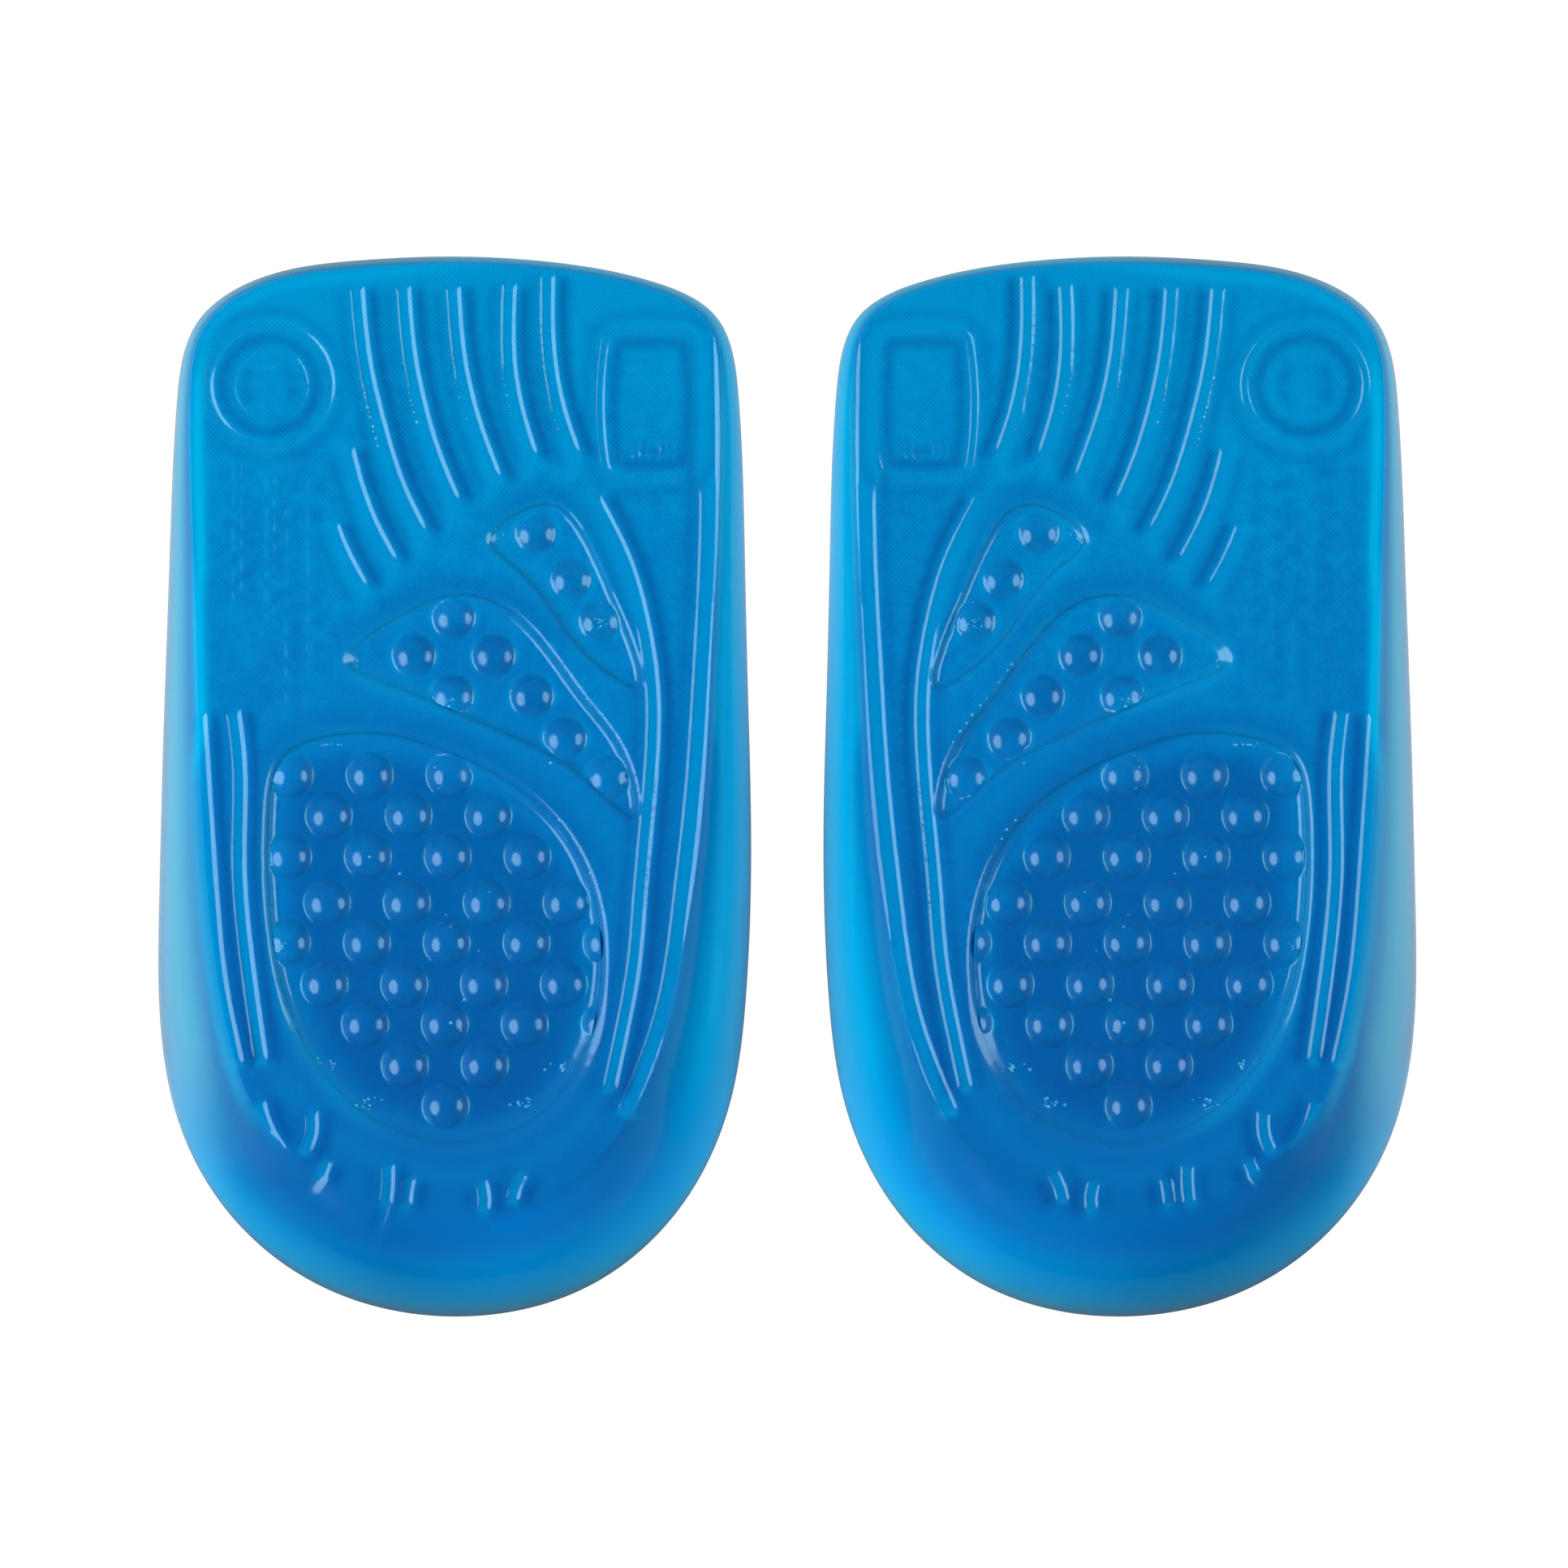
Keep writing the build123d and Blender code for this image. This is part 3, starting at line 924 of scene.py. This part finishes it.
def wall_colour_and_glow(tree, depth, colour):
    """The cup wall's colours, from the sole edge down to the rim, over the sole's colour, with
    painted light.
    """
    # The ramps hold the thin wall's lighter tone and painted light, the glow of light through the
    # wall and its haze, in versions lit differently for the outer and inner sides and the heel.
    wall = attribute(tree, "wall")
    outer = ramp(tree, wall, (
        (0.0, rgb(0.004, 0.20, 0.47)), (0.14, rgb(0.030, 0.20, 0.45)),
        (0.31, rgb(0.045, 0.33, 0.53)), (0.45, rgb(0.065, 0.37, 0.55)),
        (0.62, rgb(0.08, 0.33, 0.53)), (0.85, rgb(0.07, 0.25, 0.42)),
        (1.0, rgb(0.04, 0.18, 0.31)),
    ))
    inner = ramp(tree, wall, (
        (0.0, rgb(0.0, 0.20, 0.49)), (0.16, rgb(0.0, 0.22, 0.52)),
        (0.26, rgb(0.0, 0.31, 0.62)), (0.37, rgb(0.0, 0.41, 0.72)),
        (0.62, rgb(0.02, 0.41, 0.72)), (1.0, rgb(0.04, 0.38, 0.65)),
    ))
    outer_heel = ramp(tree, wall, (
        (0.0, rgb(0.0015, 0.14, 0.43)), (0.22, rgb(0.001, 0.14, 0.44)),
        (0.38, rgb(0.0, 0.20, 0.53)), (0.52, rgb(0.0, 0.29, 0.65)),
        (0.72, rgb(0.0, 0.40, 0.80)), (1.0, rgb(0.05, 0.42, 0.78)),
    ))
    inner_heel = ramp(tree, wall, (
        (0.0, rgb(0.0015, 0.16, 0.48)), (0.22, rgb(0.001, 0.19, 0.56)),
        (0.38, rgb(0.0, 0.29, 0.71)), (0.52, rgb(0.0, 0.38, 0.84)),
        (0.72, rgb(0.0, 0.50, 1.0)), (1.0, rgb(0.05, 0.55, 1.0)),
    ))
    inside = attribute(tree, "inner")
    side = mix(tree, inside, outer, inner)
    heel = mix(tree, inside, outer_heel, inner_heel)
    beside = clamped(tree, math(tree, "MULTIPLY_ADD", depth, -8.0, 6.95))
    side = mix(tree, beside, heel, side)
    on_wall = math(tree, "MINIMUM", math(tree, "MULTIPLY", wall, 12.0), 1.0)
    colour = mix(tree, on_wall, colour, side)
    # A painted line of light along the sole edge.
    return mix(tree, attribute(tree, "edge"), colour, rgb(0.0, 0.42, 0.71))


def gel_material(name, walls, softness):
    """Glossy translucent gel, deeper blue where it is thicker, over the knitted cover, with painted
    light and shade from its masks.
    """
    material, tree, shader = new_material(name)
    place = coordinates(tree)
    depth = attribute(tree, "thickness")
    cloud = noise(tree, place, 90.0, 3.0)
    mottle = noise(tree, place, 620.0, 2.0)
    speckle = noise(tree, place, 2400.0, 2.0)
    shifted = depth
    for pattern, amount in ((cloud, 0.30), (mottle, 0.34), (speckle, 0.30)):
        uneven = math(tree, "SUBTRACT", pattern, 0.5)
        shifted = math(tree, "MULTIPLY_ADD", uneven, amount, shifted)
    colour = ramp(tree, shifted, (
        (0.04, rgb(0.0, 0.32, 0.63)), (0.42, rgb(0.001, 0.205, 0.53)),
        (0.80, rgb(0.002, 0.15, 0.44)),
    ))
    mesh = knit(tree, place, GEL_KNIT_PITCH)
    near_cover = math(tree, "SUBTRACT", 0.62, depth)
    amount = math(tree, "MULTIPLY", math(tree, "MAXIMUM", near_cover, 0.0), 0.62)
    amount = math(tree, "MULTIPLY", amount, mesh)
    colour = mix(tree, amount, colour, rgb(0.0, 0.09, 0.30))
    # Painted highlights and painted light from the 'light' mask, and the lighter floors of the
    # grooves.
    lit = math(tree, "MULTIPLY", attribute(tree, "light"), 0.55)
    colour = mix(tree, lit, colour, rgb(0.0, 0.30, 0.62))
    # Painted shade from the 'dark' mask, and the pads' deeper tone.
    shade = math(tree, "MULTIPLY", attribute(tree, "dark"), 0.55)
    colour = mix(tree, shade, colour, rgb(0.002, 0.055, 0.27))
    if walls:
        colour = wall_colour_and_glow(tree, depth, colour)
    tree.links.new(colour, shader.inputs["Base Color"])
    grain = noise(tree, place, 420.0, 2.0)
    bump = add(tree, "ShaderNodeBump", {"Strength": 0.10, "Distance": 0.0004, "Height": grain})
    tree.links.new(bump.outputs[0], shader.inputs["Normal"])
    rough = math(tree, "MULTIPLY_ADD", cloud, 0.10, 0.09)
    tree.links.new(rough, shader.inputs["Roughness"])
    shader.inputs["IOR"].default_value = 1.48
    shader.inputs["Specular Tint"].default_value = rgb(0.5, 0.82, 1.0)
    shader.inputs["Subsurface Weight"].default_value = 0.8
    shader.inputs["Subsurface Radius"].default_value = (0.3, 0.8, 1.2)
    shader.inputs["Subsurface Scale"].default_value = softness
    return material


def bubble_material():
    material, tree, shader = new_material("bubble_gel")
    place = coordinates(tree)
    tone = noise(tree, place, 900.0)
    colour = ramp(tree, tone, ((0.35, rgb(0.004, 0.20, 0.52)), (0.7, rgb(0.08, 0.42, 0.72))))
    tree.links.new(colour, shader.inputs["Base Color"])
    shader.inputs["Roughness"].default_value = 0.2
    return material


def cover_material():
    """Fine knitted fabric with a dull nap."""
    material, tree, shader = new_material("cover_knit")
    place = coordinates(tree)
    mesh = knit(tree, place, COVER_KNIT_PITCH)
    mottle = noise(tree, place, 60.0, 4.0)
    colour = ramp(tree, mesh, ((0.15, rgb(0.015, 0.16, 0.38)), (0.75, rgb(0.06, 0.36, 0.62))))
    shade = math(tree, "MULTIPLY", mottle, 0.35)
    colour = mix(tree, shade, colour, rgb(0.03, 0.22, 0.46))
    tree.links.new(colour, shader.inputs["Base Color"])
    fuzz = noise(tree, place, 5000.0, 2.0)
    height = math(tree, "MULTIPLY_ADD", fuzz, 0.25, mesh)
    bump = add(tree, "ShaderNodeBump", {"Strength": 0.6, "Distance": 0.0002, "Height": height})
    tree.links.new(bump.outputs[0], shader.inputs["Normal"])
    rough = math(tree, "MULTIPLY_ADD", mottle, 0.15, 0.75)
    tree.links.new(rough, shader.inputs["Roughness"])
    shader.inputs["Sheen Weight"].default_value = 0.25
    return material


firm_gel = gel_material("firm_blue_gel", walls=True, softness=0.001)
soft_gel = gel_material("soft_blue_gel", walls=False, softness=0.0003)
bubble_gel = bubble_material()
cover_knit = cover_material()


# ---- The two insoles ----

def finished(piece, material, body, node=None):
    piece.data.materials.append(material)
    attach(piece, body)
    if node:
        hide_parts(node)
    return piece


gel_shape = gel_body_shape()
pad_shapes = {name: pad_shape(name) for name in PADS}
lining_shape = cover_shape()
bubbles = bubble_shape()
# Masks the gel's colour reads; light, dark, wall, edge and inner place its painted light and shade.
GEL_MASKS = ("thickness", "light", "dark", "wall", "edge", "inner")

for side in SIDES:
    body = f"{side}_insole"
    node = f"{side}_gel_body"
    gel = gel_shape.build(f"{side}_moulded_gel", side, GEL_MASKS, sharp=28)
    finished(gel, firm_gel, body, node)
    for name, shape in pad_shapes.items():
        node = f"{side}_{name}_pad"
        cushion = shape.build(f"{side}_{name}_cushion", side, GEL_MASKS)
        finished(cushion, soft_gel, body, node)
    node = f"{side}_top_cover"
    lining = lining_shape.build(f"{side}_fabric_lining", side)
    finished(lining, cover_knit, body, node)
    blisters = bubbles.build(f"{side}_air_bubbles", side, weld=False)
    finished(blisters, bubble_gel, body)


# ---- Floor, light and camera ----

def pale_floor():
    """White to the camera. The gel sees it pale at the sides and dim behind the heels."""
    low, high = cad_box
    bpy.ops.mesh.primitive_plane_add(size=8.0, location=(0, 0, low.z - 0.0002))
    floor = bpy.context.object
    floor.name = "pale_floor"
    material, tree, shader = new_material("pale_floor")
    across, along, _ = axes(tree, coordinates(tree))
    outward = math(tree, "SUBTRACT", math(tree, "ABSOLUTE", across), high.x - 0.012)
    outward = clamped(tree, math(tree, "MULTIPLY", outward, 60.0))
    forward = clamped(tree, math(tree, "MULTIPLY", along, 33.0))
    between = math(tree, "MULTIPLY_ADD", forward, 0.35, 0.10)
    glow = math(tree, "MULTIPLY_ADD", outward, math(tree, "SUBTRACT", 0.85, between), between)
    ahead = clamped(tree, math(tree, "MULTIPLY", math(tree, "ADD", along, 0.058), 50.0))
    glow = math(tree, "MULTIPLY_ADD", math(tree, "MULTIPLY", glow, ahead), 0.94, 0.06)
    seen = add(tree, "ShaderNodeLightPath").outputs["Is Camera Ray"]
    glow = math(tree, "MAXIMUM", seen, glow)
    tree.links.new(glow, shader.inputs["Emission Strength"])
    shader.inputs["Emission Color"].default_value = grey(1.0)
    shader.inputs["Base Color"].default_value = grey(0.08)
    shader.inputs["Roughness"].default_value = 0.9
    shader.inputs["Specular IOR Level"].default_value = 0.0
    floor.data.materials.append(material)


LIGHT_DISTANCE = 0.6


def softbox(name, side, tilt, forward, size, power):
    """An oval light, tilt degrees from overhead. size is its length along y and its height."""
    light = bpy.data.lights.new(name, "AREA")
    light.shape = "ELLIPSE"
    light.size, light.size_y = size
    light.energy = power
    lamp = bpy.data.objects.new(name, light)
    bpy.context.scene.collection.objects.link(lamp)
    away = Vector((side * np.sin(np.radians(tilt)), 0, np.cos(np.radians(tilt))))
    lamp.location = away * LIGHT_DISTANCE + Vector((0, forward, 0))
    lamp.rotation_euler = away.to_track_quat("Z", "Y").to_euler()


def studio():
    """Dark straight overhead, dim all round, pale low down at both sides, white to the camera.

    The dim light all round fills in the shading, and hardly shows in the gel's shine.
    """
    world = bpy.data.worlds.new("studio")
    bpy.context.scene.world = world
    world.use_nodes = True
    tree = world.node_tree
    across, _, upward = axes(tree, coordinates(tree, "Generated"))
    low_down = ramp(tree, upward, ((0.0, grey(0.8)), (0.35, grey(0.25)), (0.75, grey(0.0))))
    aside = math(tree, "POWER", math(tree, "ABSOLUTE", across), 6.0)
    all_round = ramp(tree, upward, (
        (0.15, grey(0.03)), (0.38, grey(0.5)), (0.78, grey(0.5)), (0.90, grey(0.03)),
    ))
    path = add(tree, "ShaderNodeLightPath")
    hidden = math(tree, "MULTIPLY", path.outputs["Is Glossy Ray"], 0.85)
    all_round = math(tree, "MULTIPLY", all_round, math(tree, "SUBTRACT", 1.0, hidden))
    level = math(tree, "MULTIPLY_ADD", aside, low_down, all_round)
    level = math(tree, "MAXIMUM", path.outputs["Is Camera Ray"], level)
    background = tree.nodes["Background"]
    background.inputs["Color"].default_value = grey(1.0)
    tree.links.new(level, background.inputs["Strength"])


# The view's width over the pair's, and how far its middle is from the pair's, in metres.
VIEW_OVER_PAIR = 1.2463
VIEW_OFFSET = (-0.0004, 0.00025)


def overhead_camera():
    """Looks straight down at the pair, front edges up, with a margin all round."""
    low, high = cad_box
    middle = (low + high) / 2
    camera_data = bpy.data.cameras.new("camera")
    camera_data.lens = 600.0
    camera = bpy.data.objects.new("camera", camera_data)
    bpy.context.scene.collection.objects.link(camera)
    view_width = (high.x - low.x) * VIEW_OVER_PAIR
    distance = view_width * camera_data.lens / camera_data.sensor_width
    camera.location = (middle.x + VIEW_OFFSET[0], middle.y + VIEW_OFFSET[1], distance)
    camera.rotation_euler = (0, 0, 0)
    camera_data.clip_end = 20.0
    bpy.context.scene.camera = camera


pale_floor()
softbox("left_softbox", side=-1, tilt=47, forward=0.0, size=(0.52, 0.37), power=3.3)
softbox("right_softbox", side=1, tilt=53, forward=0.09, size=(0.42, 0.29), power=1.9)
studio()
overhead_camera()
bpy.context.scene.view_settings.view_transform = "Standard"
